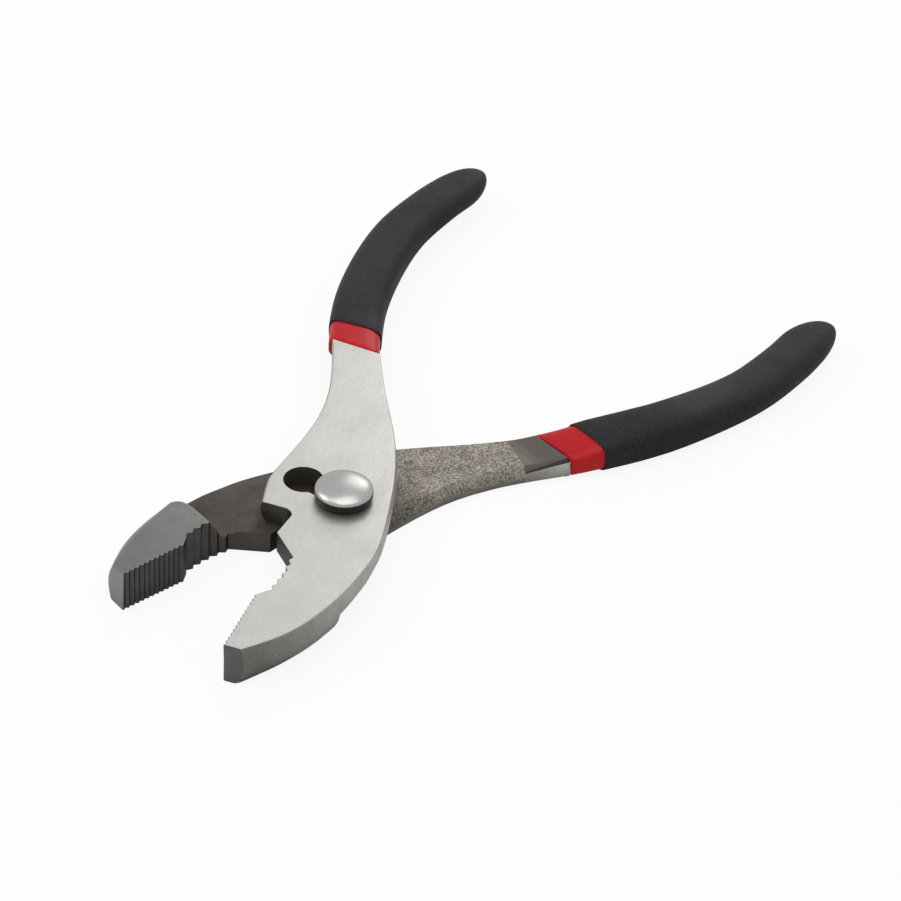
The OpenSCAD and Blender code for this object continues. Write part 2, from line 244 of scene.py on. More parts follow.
@dataclass(frozen=True)
class DipFinish:
    """A dipped vinyl coat: an even colour with fine specks, a skin of soft gloss and a slight grain."""

    name: str
    colour: str
    speck: str
    speck_mm: float
    speck_share: float
    roughness: tuple[float, float]
    bump_mm: float
    gloss: float
    coat: float
    coat_roughness: float = 0.12
    cloud_mm: float = 18.0
    ior: float = 1.53
    speck_from: float = 0.62
    speck_to: float = 0.74

    def make(self) -> bpy.types.Material:
        """Build the material's nodes.

        Returns:
            The finished material.
        """
        material, tree, shader = blank_material(self.name)
        place = add(tree, "ShaderNodeTexCoord")
        grain = add(tree, "ShaderNodeTexNoise", None, {
            "Vector": place.outputs["Object"], "Scale": per_mm(self.speck_mm), "Detail": 2.0,
        })
        cloud = add(tree, "ShaderNodeTexNoise", None, {
            "Vector": place.outputs["Object"], "Scale": per_mm(self.cloud_mm), "Detail": 2.0,
        })
        specks = add(tree, "ShaderNodeMapRange", None, {
            "Value": grain.outputs["Fac"],
            "From Min": self.speck_from - self.speck_share * 0.2, "From Max": self.speck_to,
        })
        colour = add(tree, "ShaderNodeMix", {"data_type": "RGBA"}, {
            0: specks.outputs["Result"], 6: linear(self.colour), 7: linear(self.speck),
        })
        rough = add(tree, "ShaderNodeMapRange", None, {
            "Value": cloud.outputs["Fac"], "From Min": 0.35, "From Max": 0.65,
            "To Min": self.roughness[0], "To Max": self.roughness[1],
        })
        bump = add(tree, "ShaderNodeBump", None, {
            "Height": grain.outputs["Fac"], "Strength": 1.0, "Distance": self.bump_mm * MM,
        })
        shader.inputs["IOR"].default_value = self.ior
        shader.inputs["Specular IOR Level"].default_value = self.gloss
        shader.inputs["Coat Weight"].default_value = self.coat
        shader.inputs["Coat Roughness"].default_value = self.coat_roughness
        tree.links.new(colour.outputs[2], shader.inputs["Base Color"])
        tree.links.new(rough.outputs["Result"], shader.inputs["Roughness"])
        tree.links.new(bump.outputs["Normal"], shader.inputs["Normal"])
        return material


def mesh_object(bm: bmesh.types.BMesh, name: str, sharp_deg: float) -> bpy.types.Object:
    """Turn a finished bmesh into an object at the origin, smooth but for its sharp edges.

    Args:
        bm: Mesh in row metres; it is freed here.
        name: Name of the piece.
        sharp_deg: Edges that turn by more than this stay sharp.

    Returns:
        The new object.
    """
    limit = math.radians(sharp_deg)
    for face in bm.faces:
        face.smooth = True
    for edge in bm.edges:
        edge.smooth = len(edge.link_faces) == 2 and edge.calc_face_angle(0.0) < limit
    mesh = bpy.data.meshes.new(name)
    bm.to_mesh(mesh)
    bm.free()
    piece = bpy.data.objects.new(name, mesh)
    bpy.context.scene.collection.objects.link(piece)
    return piece


def sweep(rings: Sequence[Sequence[Vector]], joined: bool = False) -> bmesh.types.BMesh:
    """Closed skin over a row of rings, made by extruding a circle from each ring to the next.

    Args:
        rings: Rings with the same number of points each, in order.
        joined: True where the last ring meets the first, False where both ends are capped.

    Returns:
        The new bmesh.
    """
    bm = bmesh.new()
    bmesh.ops.create_circle(bm, segments=len(rings[0]), radius=1.0)
    loop = sorted(bm.verts, key=lambda v: math.atan2(v.co.y, v.co.x) % math.tau)
    edges = list(bm.edges)
    first = list(edges)
    for vert, point in zip(loop, rings[0]):
        vert.co = point
    for ring in rings[1:]:
        grown = bmesh.ops.extrude_edge_only(bm, edges=edges)["geom"]
        fresh = {g for g in grown if isinstance(g, bmesh.types.BMVert)}
        loop = [
            next(e.other_vert(v) for e in v.link_edges if e.other_vert(v) in fresh) for v in loop
        ]
        edges = [
            g for g in grown
            if isinstance(g, bmesh.types.BMEdge) and all(v in fresh for v in g.verts)
        ]
        for vert, point in zip(loop, ring):
            vert.co = point
    if joined:
        bmesh.ops.bridge_loops(bm, edges=first + edges)
    else:
        bmesh.ops.contextual_create(bm, geom=first)
        bmesh.ops.contextual_create(bm, geom=edges)
    bmesh.ops.recalc_face_normals(bm, faces=bm.faces)
    return bm


def turned(profile: Sequence[tuple[float, float]], steps: int = 96) -> bmesh.types.BMesh:
    """Solid of revolution about the bolt axis.

    Args:
        profile: Closed outline or axis-to-axis line, as radius and height in millimetres.
        steps: Steps of the full turn.

    Returns:
        The new bmesh, in row metres.
    """
    bm = bmesh.new()
    verts = [bm.verts.new((r * MM, 0.0, z * MM)) for r, z in profile]
    edges = [bm.edges.new(pair) for pair in zip(verts, verts[1:])]
    if profile[0][0] > 0.0:
        edges.append(bm.edges.new((verts[-1], verts[0])))
    bmesh.ops.spin(
        bm, geom=verts + edges, cent=(0, 0, 0), axis=(0, 0, 1), angle=math.tau, steps=steps, use_merge=True,
    )
    bmesh.ops.remove_doubles(bm, verts=bm.verts, dist=1e-7)
    bmesh.ops.recalc_face_normals(bm, faces=bm.faces)
    return bm


@dataclass(frozen=True)
class HalfPlace:
    """How one half lies. Both share a profile frame: teeth line along X, ground face on top."""

    name: str
    body: str
    turn_deg: float
    turned_over: bool

    def to_row(self) -> Matrix:
        """Work out how the half is turned and moved.

        Returns:
            Matrix from profile millimetres to row metres.
        """
        lift = TOOL_T if self.turned_over else 0.0
        flip = Matrix.Rotation(math.pi if self.turned_over else 0.0, 4, "X")
        shift = Matrix.Translation((0.0, -PIVOT_OFFSET, lift))
        spun = Matrix.Rotation(math.radians(self.turn_deg), 4, "Z")
        return Matrix.Scale(MM, 4) @ spun @ shift @ flip


UPPER = HalfPlace("upper", "upper", REST_ANGLE / 2, False)
LOWER = HalfPlace("lower", "lower", -REST_ANGLE / 2, True)


@dataclass(frozen=True)
class EdgeBreak:
    """How the edges between two regions are rounded, and which finish the rounding takes."""

    first: Region
    others: tuple[Region, ...]
    width_mm: float
    segments: int
    finish: Region


EDGE_BREAKS = (
    EdgeBreak(Region.NOSE, (Region.SIDE,), 0.8, 4, Region.NOSE),
    EdgeBreak(Region.GROUND, (Region.SIDE, Region.ROLL), 0.22, 2, Region.EDGE),
    EdgeBreak(Region.NECK, (Region.SIDE,), 0.3, 2, Region.NECK),
    EdgeBreak(Region.RAMP, (Region.SIDE,), 0.3, 2, Region.RAMP),
    EdgeBreak(Region.WEB, (Region.SIDE,), 0.3, 2, Region.WEB),
    EdgeBreak(Region.TIP, (Region.TOOTH, Region.FLANK), 0.2, 2, Region.EDGE),
    EdgeBreak(Region.TOOTH, (Region.NOSE, Region.GROUND), 0.1, 1, Region.EDGE),
    EdgeBreak(Region.FLANK, (Region.NOSE, Region.GROUND), 0.1, 1, Region.EDGE),
)


@dataclass
class Forging:
    """One forged half, a merged copy of its solid with broken edges and a finish for each region."""

    place: HalfPlace
    tip_x: float
    shoulder_x: float = 31.0
    notch_x: float = 8.6
    web_end_x: float = -4.0
    corner_from: tuple[float, float] = (33.2, 15.5)
    corner_to: tuple[float, float] = (34.5, 16.0)
    corner_t: float = 0.78
    tooth_top: float = 5.7
    bore_r: float = 5.2
    pocket_r: float = 8.2
    land_r: float = 19.8
    blast_end: tuple[float, float] = (-47.0, -16.4)
    blast_line: tuple[float, float] = (-3.0, 11.4)
    flash_top: tuple[tuple[float, float, float], ...] = ((-44.67, -14.52, 7.97), (-57.0, -17.75, 6.15))
    flash_foot: tuple[tuple[float, float, float], ...] = ((-44.66, -14.63, 8.14), (-56.97, -18.35, 7.07))
    flash_out: tuple[float, float, float] = (0.3, -0.79, -0.53)
    sharp_deg: float = 28.0
    # Shares of a unit normal that tell faces apart
    upright: float = 0.3
    level: float = 0.9
    downward: float = 0.5
    leaning: float = 0.25
    rolled_in: float = 0.1
    tooth_side: float = 0.4
    near_mm: float = 0.3
    tip_band: float = 0.1
    shoulder_slack: float = 0.2
    shoulder_run: float = 1.0
    collar_cover: float = 0.5
    stray_mm: float = 0.35
    proud_mm: float = 0.004
    sliver_mm: float = 0.0008
    bend_deg: float = 10.0

    @property
    def holes(self) -> list[Vector]:
        """Middles of the half's holes.

        Returns:
            One spot in the keyed half, two in the slotted one, in profile millimetres.
        """
        if self.place.turned_over:
            return [Vector((0.0, -PIVOT_OFFSET))]
        return [Vector((0.0, PIVOT_OFFSET)), Vector((-SLIP_BACK, PIVOT_OFFSET - SLIP_ACROSS))]

    def region(self, spot: Vector, normal: Vector) -> Region:
        """Say which finish a face has.

        Args:
            spot: Middle of the face, in profile millimetres.
            normal: Its normal in the profile frame.

        Returns:
            The region that the face belongs to.
        """
        if abs(normal.z) < self.upright:
            wall = self.wall_region(spot, normal)
            if wall is not None:
                return wall
        if normal.z > self.level:
            return Region.GROUND
        before_pad = spot.x < self.shoulder_x + self.shoulder_run
        slope = normal.x < -self.downward and normal.z < -self.leaning and before_pad
        handle_side = spot.y < 0.0 and spot.x < self.notch_x
        inner = normal.z < -self.rolled_in and normal.y < 0.0 and handle_side
        blasted = (spot.xy - Vector(self.blast_end)).cross(Vector(self.blast_line)) > 0
        if normal.z < -self.downward or slope or inner:
            if spot.x > self.shoulder_x - self.shoulder_slack:
                return Region.NOSE
            if spot.x > self.web_end_x:
                return Region.WEB
            if blasted:
                return Region.NECK
            if self.past(self.flash_top, spot) < 0:
                return Region.RAMP
            return Region.CREASE if self.past(self.flash_foot, spot) < 0 else Region.ROLL
        rolled = self.place.turned_over and normal.y < 0.0 and not blasted
        return Region.ROLL if rolled else Region.SIDE

    def wall_region(self, spot: Vector, normal: Vector) -> Optional[Region]:
        """Say which finish an upright face has, where it isn't the half's plain side.

        Args:
            spot: Middle of the face, in profile millimetres.
            normal: Its normal in the profile frame.

        Returns:
            The region, or None for a side.
        """
        rays = [spot.xy - hole for hole in self.holes]
        if min(ray.length for ray in rays) < (self.pocket_r if self.place.turned_over else self.bore_r):
            return Region.BORE
        if spot.x > self.tip_x - self.tip_band:
            return Region.TIP
        if spot.x > self.notch_x and spot.y < self.tooth_top and normal.y < self.tooth_side:
            # A tooth face turned towards the tip gets the lighter tone, the other face the darker: painted
            # light and shade
            return Region.TOOTH if normal.x > 0.0 else Region.FLANK
        for ray in rays:
            round_wall = abs(normal.xy.dot(ray)) > self.level * ray.length
            if spot.x < 0.0 and abs(ray.length - self.land_r) < self.near_mm and round_wall:
                return Region.NECK
        return None

    def past(self, edge: Sequence[Sequence[float]], spot: Vector) -> float:
        """Distance of a spot below an edge of the flash line, measured over the side's surface."""
        return (spot - Vector(edge[0])).dot(self.across(edge))

    def across(self, edge: Sequence[Sequence[float]]) -> Vector:
        """Direction down the side, square to an edge of the flash line."""
        return (Vector(edge[1]) - Vector(edge[0])).cross(Vector(self.flash_out)).normalized()

    def build(self) -> bpy.types.Object:
        """Copy the solid, merge it, break its edges and sort its faces into regions.

        Returns:
            The finished piece, still without materials.
        """
        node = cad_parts[f"{self.place.name}_half"]
        bm = bmesh.new()
        bm.from_mesh(node.data)
        bmesh.ops.remove_doubles(bm, verts=bm.verts, dist=2e-6)
        self.ease_corner(bm)
        along = Vector(self.blast_line)
        self.split(bm, Vector((*self.blast_end, 0.0)), Vector((along.y, -along.x, 0.0)))
        self.split(bm, Vector((self.web_end_x, 0.0, 0.0)), Vector((1.0, 0.0, 0.0)))
        for edge in (self.flash_top, self.flash_foot):
            self.split(bm, Vector(edge[0]), self.across(edge))
        self.sort_faces(bm)
        bmesh.ops.dissolve_limit(
            bm, angle_limit=math.radians(0.2), verts=bm.verts, edges=bm.edges, delimit={"MATERIAL"},
        )
        solid = BVHTree.FromBMesh(bm)
        for kind in EDGE_BREAKS:
            self.break_edges(bm, kind)
        self.clean(bm, solid)
        piece = mesh_object(bm, f"{self.place.name}_forging", self.sharp_deg)
        weigh = piece.modifiers.new("flat_faces", "WEIGHTED_NORMAL")
        weigh.keep_sharp = True
        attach(piece, self.place.body)
        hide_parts(f"{self.place.name}_half")
        return piece

    def clean(self, bm: bmesh.types.BMesh, solid: BVHTree) -> None:
        """Draw stray bevel points back to the solid and take out slivers and folds.

        Args:
            bm: Mesh of the half, with its edges broken.
            solid: The half's surface before that.
        """
        for vert in bm.verts:
            spot, normal, _, away = solid.find_nearest(vert.co)
            if away > self.stray_mm * MM or (vert.co - spot).dot(normal) > self.proud_mm * MM:
                vert.co = spot
        bmesh.ops.remove_doubles(bm, verts=bm.verts, dist=self.sliver_mm * MM)
        bmesh.ops.dissolve_degenerate(bm, dist=self.sliver_mm * MM, edges=bm.edges)
        bmesh.ops.triangulate(bm, faces=[face for face in bm.faces if len(face.verts) > 4])
        folds = [vert for vert in bm.verts if len(vert.link_edges) == 2]
        bmesh.ops.dissolve_verts(bm, verts=folds)

    def ease_corner(self, bm: bmesh.types.BMesh) -> None:
        """Draw the points where the shoulder's corner runs out into the back edge to one.

        Args:
            bm: Mesh of the half.
        """
        back = self.place.to_row().inverted()
        near = []
        for vert in bm.verts:
            spot = back @ vert.co
            if (
                self.corner_from[0] < spot.x < self.corner_to[0] and spot.z < self.corner_t
                and self.corner_from[1] < spot.y < self.corner_to[1]
            ):
                near.append(vert)
        lowest = min(near, key=lambda v: (back @ v.co).z)
        bmesh.ops.pointmerge(bm, verts=near, merge_co=lowest.co)

    def split(self, bm: bmesh.types.BMesh, spot: Vector, square: Vector) -> None:
        """Cut the half's faces along a plane, so that two finishes can meet on it.

        Args:
            bm: Mesh of the half.
            spot: A point of the plane, in the profile frame.
            square: The plane's normal there.
        """
        matrix = self.place.to_row()
        bmesh.ops.bisect_plane(
            bm, geom=bm.verts[:] + bm.edges[:] + bm.faces[:], dist=1e-7,
            plane_co=matrix @ spot, plane_no=(matrix.to_3x3() @ square).normalized(),
        )

    def sort_faces(self, bm: bmesh.types.BMesh) -> None:
        """Give each face the material number of its region.

        Args:
            bm: Mesh of the half.
        """
        back = self.place.to_row().inverted()
        spin = back.to_3x3()
        for face in bm.faces:
            spot = back @ face.calc_center_median()
            face.material_index = self.region(spot, (spin @ face.normal).normalized()).value

    def break_edges(self, bm: bmesh.types.BMesh, kind: EdgeBreak) -> None:
        """Round one kind of edge, but for what the grip covers.

        Args:
            bm: Mesh of the half, with its faces sorted.
            kind: The regions whose common edges are rounded, and by how much.
        """
        back = self.place.to_row().inverted()
        others = {region.value for region in kind.others}
        chosen = []
        for edge in bm.edges:
            if len(edge.link_faces) != 2 or not edge.is_convex:
                continue
            pair = [face.material_index for face in edge.link_faces]
            if kind.first.value not in pair or not others.intersection(pair):
                continue
            if edge.calc_face_angle(0.0) < math.radians(self.bend_deg):
                continue
            if min((back @ v.co).x for v in edge.verts) < -COLLAR_X + self.collar_cover:
                continue
            chosen.append(edge)
        made = bmesh.ops.bevel(
            bm, geom=chosen, offset=kind.width_mm * MM, offset_type="OFFSET", affect="EDGES",
            segments=kind.segments, profile=0.5, material=-1, clamp_overlap=False, loop_slide=True,
        )
        for face in made["faces"]:
            face.material_index = kind.finish.value

    def dress(self, piece: bpy.types.Object) -> None:
        """Hang one steel finish on each region.

        Args:
            piece: The half, with its faces sorted.
        """
        turn, name = self.place.turn_deg, self.place.name
        over = self.place.turned_over
        tip = ("#7E7D7C", "#939292") if over else ("#5B5A5C", "#69686A")
        # The lower half's darker side tone is painted shade
        side = ("#66645F", "#827F79") if over else ("#9A9893", "#BBB9B3")
        finishes = {
            # Belt grinding leaves a pale, nearly even face with faint lines along the tool and a few pits;
            # the lines are drawn coarser than real, to show from a step away
            Region.GROUND: SteelFinish(
                f"carbon_steel_belt_ground_{name}", "#A9A8A4", "#BDBCB8", (0.32, 0.44), 0.22, 9.0, 0.004,
                draw_out=14.0, turn_deg=turn, mottle_share=0.45, pit_mm=2.6, pit_share=0.10,
            ),
            # A finer belt leaves the pad satin; its mid-grey tone, darker towards the tip, is painted shade
            # for the darker surroundings the pad mirrors
            Region.NOSE: SteelFinish(
                f"carbon_steel_satin_{name}", "#686766", "#797877", (0.36, 0.48), 0.25, 6.0, 0.006,
                draw_out=8.0, turn_deg=turn, mottle_share=0.4, pit_mm=2.2, pit_share=0.08,
                lie_deg=turn, fade_mm=(57.0, 34.0), fade_shares=(0.9, 1.05),
            ),
            # Forging scale, oiled: dark brown-grey, dull, with soft unevenness
            Region.WEB: SteelFinish(
                f"carbon_steel_as_forged_{name}", "#3E3A36", "#55504B", (0.50, 0.66), 0.6, 5.0, 0.03,
                pit_mm=1.6, pit_share=0.16, lie_deg=turn, fade_mm=(30.0, 14.0), fade_shares=(0.9, 1.15),
            ),
            # Shot blasting: a salt-and-pepper grain with no direction, drawn coarser than real to show
            Region.NECK: SteelFinish(
                f"carbon_steel_shot_blasted_{name}", "#57534D", "#979188", (0.45, 0.62), 0.5, 4.0, 0.06,
                mottle_share=0.2, spread=0.15, pit_mm=1.1, pit_share=0.25,
                # The tone falls to 0.3 of itself towards the joint: painted shade beside and under the upper
                # half
                lie_deg=turn, fade_mm=(-4.0, -24.0), fade_shares=(0.3, 1.03),
            ),
            # Coarse grinding across the tool, dull and even
            Region.RAMP: SteelFinish(
                f"carbon_steel_rough_ground_{name}", "#514D48", "#605B56", (0.34, 0.46), 0.25, 6.0, 0.006,
                draw_out=6.0, turn_deg=turn + 90.0,
            ),
            # Broached teeth keep a dark oxide; the face of each tooth towards the tip takes the lighter tone
            # and its other face the darker: painted light and shade on one steel
            Region.TOOTH: SteelFinish(
                f"carbon_steel_broached_{name}", "#4A4946", "#5C5B58", (0.42, 0.55), 0.3, 4.0, 0.01,
                mottle_share=0.4,
            ),
            Region.FLANK: SteelFinish(
                f"carbon_steel_broached_dark_{name}", "#2B2A29", "#3A3938", (0.42, 0.55), 0.3, 4.0, 0.01,
                mottle_share=0.4,
            ),
            # Trimmed and tumbled sides: grey and pitted. Their tone is painted shade for the dark
            # surroundings they mirror: darker on the lower half, and on the upper half falling to under half
            # towards the jaw's tip
            Region.SIDE: SteelFinish(
                f"carbon_steel_trimmed_{name}", side[0], side[1], (0.40, 0.56), 0.5, 7.0, 0.03,
                mottle_share=0.5, pit_mm=2.4, pit_share=0.14,
                lie_deg=turn, fade_mm=(55.0, 26.0), fade_shares=(1.0 if over else 0.42, 1.0),
            ),
            # The tip's end is ground flat and left dull
            Region.TIP: SteelFinish(
                f"carbon_steel_tip_{name}", tip[0], tip[1], (0.38, 0.50), 0.3, 5.0, 0.01, mottle_share=0.4,
            ),
            # Punched and reamed holes are plain grey; the shade inside makes them look almost black
            Region.BORE: SteelFinish(
                f"carbon_steel_punched_{name}", "#6B675F", "#827D75", (0.45, 0.6), 0.3, 3.0, 0.02,
            ),
            # Handling polishes the edges a little lighter than the faces beside them
            Region.EDGE: SteelFinish(
                f"carbon_steel_worn_edge_{name}", "#9A9995", "#B2B1AD", (0.32, 0.42), 0.3, 4.0, 0.004,
            ),
            # The dark band along the trimmed flash line beside the grip is a painted reflection of something
            # dark in the rolled side
            Region.CREASE: SteelFinish(
                f"carbon_steel_flash_line_{name}", "#33312F", "#45423F", (0.45, 0.6), 0.3, 3.0, 0.02,
            ),
            # Below that line the side was polished round for the dip; its tone brightening towards the collar
            # is a painted highlight
            Region.ROLL: SteelFinish(
                f"carbon_steel_polished_{name}", "#6E6D6A", "#84837F", (0.28, 0.38), 0.3, 6.0, 0.004,
                lie_deg=turn, fade_mm=(-44.0, -57.0), fade_shares=(0.9, 1.7),
            ),
        }
        for region in Region:
            piece.data.materials.append(finishes[region].make())


@dataclass
class GripSweep:
    """The grip's swept form in the profile frame, shared by its red and its black coat."""

    handle_reach: float = 148.6
    grip_drop: float = 22.2
    grip_w: float = 14.0
    grip_t: float = 9.3
    collar_x: float = COLLAR_X
    end_fall: float = 1.1
    dip_lean: float = 5.0
    end_round: float = 14.0
    points: int = 48
    fine_steps: int = 16
    line_shares: tuple = (
        (-0.078, 0.490), (0.075, 0.722), (0.249, 0.918), (0.436, 1.003), (0.610, 0.986),
        (0.774, 0.842), (0.894, 0.680), (1.000, 0.572),
    )
    width_shares: tuple = (0.97, 0.97, 0.96, 0.96, 0.96, 0.95, 0.92, 0.86)
    thick_shares: tuple = (
        (0.0, 0.71), (0.05, 0.77), (0.1, 0.85), (0.15, 0.93), (0.22, 0.98), (0.3, 1.0), (0.45, 0.94),
        (0.7, 0.79), (1.0, 0.7),
    )
    fall_shares: tuple = ((0.0, 0.0), (0.35, 0.0), (0.7, 0.55), (1.0, 1.0))
    square_shares: tuple = (0.5, 0.85)
    dip_turn_share: float = 0.5
    line: list = field(default_factory=list)
    runs: list = field(default_factory=list)

    def __post_init__(self) -> None:
        """Draw the middle line finely and measure the run along it."""
        knots = [
            Vector((
                -self.collar_x - x * (self.handle_reach - self.collar_x),
                -y * self.grip_drop,
                w * self.grip_w,
            ))
            for (x, y), w in zip(self.line_shares, self.width_shares)
        ]
        last = len(knots) - 1
        for i in range(last):
            a, b, c, d = (knots[min(max(i + k, 0), last)] for k in (-1, 0, 1, 2))
            for k in range(self.fine_steps):
                t = k / self.fine_steps
                self.line.append((
                    2 * b + (c - a) * t + (2 * a - 5 * b + 4 * c - d) * t ** 2
                    + (3 * b - a - 3 * c + d) * t ** 3
                ) / 2)
        self.line.append(knots[last])
        self.runs.append(0.0)
        for p, q in zip(self.line, self.line[1:]):
            self.runs.append(self.runs[-1] + (q.xy - p.xy).length)

    @property
    def length(self) -> float:
        """Run of the whole middle line."""
        return self.runs[-1]

    def at(self, run: float) -> Vector:
        """Find a point of the middle line.

        Args:
            run: Distance along the line.

        Returns:
            The point, with the grip's width there as its third number.
        """
        run = min(max(run, 0.0), self.length)
        i = max(k for k in range(len(self.runs) - 1) if self.runs[k] <= run)
        t = (run - self.runs[i]) / (self.runs[i + 1] - self.runs[i])
        return self.line[i].lerp(self.line[i + 1], t)

    def run_at(self, x: float) -> float:
        """Find where the middle line passes a place along the tool.

        Args:
            x: The place, in profile millimetres.

        Returns:
            The run there, or 0 where the line doesn't pass it.
        """
        for i, (p, q) in enumerate(zip(self.line, self.line[1:])):
            if q.x <= x <= p.x:
                return self.runs[i] + (p.x - x) / (p.x - q.x) * (self.runs[i + 1] - self.runs[i])
        return 0.0

    @staticmethod
    def between(table: Sequence[tuple[float, float]], thin: float) -> float:
        """Share from a table at a place along the grip, straight between its rows.

        Args:
            table: Rows of place and share, in order.
            thin: Place along the grip, from 0 at the collar to 1 where the end starts to round.

        Returns:
            The share there.
        """
        for (a, low), (b, high) in zip(table, table[1:]):
            if thin <= b:
                return low + (high - low) * (thin - a) / (b - a)
        return table[-1][1]

    def ring(self, run: float, sink: float, end: float) -> list[Vector]:
        """Section of a coat.

        Args:
            run: Where the section is along the middle line.
            sink: Depth of the coat below the black surface.
            end: Run at which this coat's rounded end closes.

        Returns:
            The section's points, in profile millimetres.
        """
        collar = self.run_at(-self.collar_x)
        p = self.at(run)
        step = self.end_round / 4
        ahead = (self.at(run - step) - self.at(run + step)).xy
        square = Vector((-ahead.y, ahead.x)).normalized()
        share = min(max((run - collar) / self.length / self.dip_turn_share, 0.0), 1.0)
        lean = math.radians(self.dip_lean)
        side = Vector((math.sin(lean), math.cos(lean))).lerp(square, share)
        side = side / side.dot(square)
        thin = min(max((run - collar) / (self.length - self.end_round - collar), 0.0), 1.0)
        full = self.grip_t * self.between(self.thick_shares, thin)
        middle = TOOL_T - full / 2 - self.end_fall * self.between(self.fall_shares, thin)
        power = self.square_shares[0] + (self.square_shares[1] - self.square_shares[0]) * thin
        past = max(0.0, (run - end + self.end_round) / self.end_round)
        rounding = math.sqrt(max(0.0, 1.0 - past ** 2))
        half_w = (p.z / 2 - sink) * rounding
        half_t = (full / 2 - sink) * rounding
        ring = []
        for i in range(self.points):
            c, n = math.cos(math.tau * i / self.points), math.sin(math.tau * i / self.points)
            y = math.copysign(abs(c) ** power, c) * half_w
            z = math.copysign(abs(n) ** power, n) * half_t
            ring.append(Vector((p.x + side.x * y, p.y + side.y * y, middle + z)))
        return ring


@dataclass
class Coat:
    """One dipped coat: a shell with a rolled front edge, open to the steel or the coat below."""

    sweep: GripSweep
    place: HalfPlace
    kind: str
    node: str
    slot: str
    front_x: float
    outer: float
    inner: float
    lip: float
    body_rings: int = 60
    end_rings: int = 16
    lip_rings: int = 8

    def build(self) -> bpy.types.Object:
        """Sweep the inner skin forward, roll round the front edge and sweep the outer skin back.

        Returns:
            The finished piece, still without its material.
        """
        front = self.sweep.run_at(-self.front_x)
        rings = self.skin(front + self.lip, self.inner)[::-1]
        thick = self.inner - self.outer
        for k in range(1, self.lip_rings):
            a = math.pi * k / self.lip_rings
            sink = self.outer + thick * (1 + math.cos(a)) / 2
            run = front + self.lip * (1 - math.sin(a))
            rings.append(self.sweep.ring(run, sink, self.sweep.length - sink))
        rings += self.skin(front + self.lip, self.outer)
        matrix = self.place.to_row()
        bm = sweep([[matrix @ p for p in ring] for ring in rings])
        piece = mesh_object(bm, f"{self.place.name}_{self.kind}", 50.0)
        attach(piece, self.place.body)
        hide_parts(self.node)
        return piece

    def skin(self, start: float, sink: float) -> list[list[Vector]]:
        """Lay the rings of one skin.

        Args:
            start: Run at the front.
            sink: Depth of the skin below the black surface.

        Returns:
            The rings, from the front to the pole of the rounded end.
        """
        end = self.sweep.length - sink
        straight = end - self.sweep.end_round
        runs = [start + (straight - start) * i / self.body_rings for i in range(self.body_rings)]
        turns = [math.pi / 2 * i / self.end_rings for i in range(self.end_rings)]
        runs += [straight + self.sweep.end_round * math.sin(t) for t in turns]
        runs.append(straight + self.sweep.end_round * 0.9999)
        return [self.sweep.ring(run, sink, end) for run in runs]


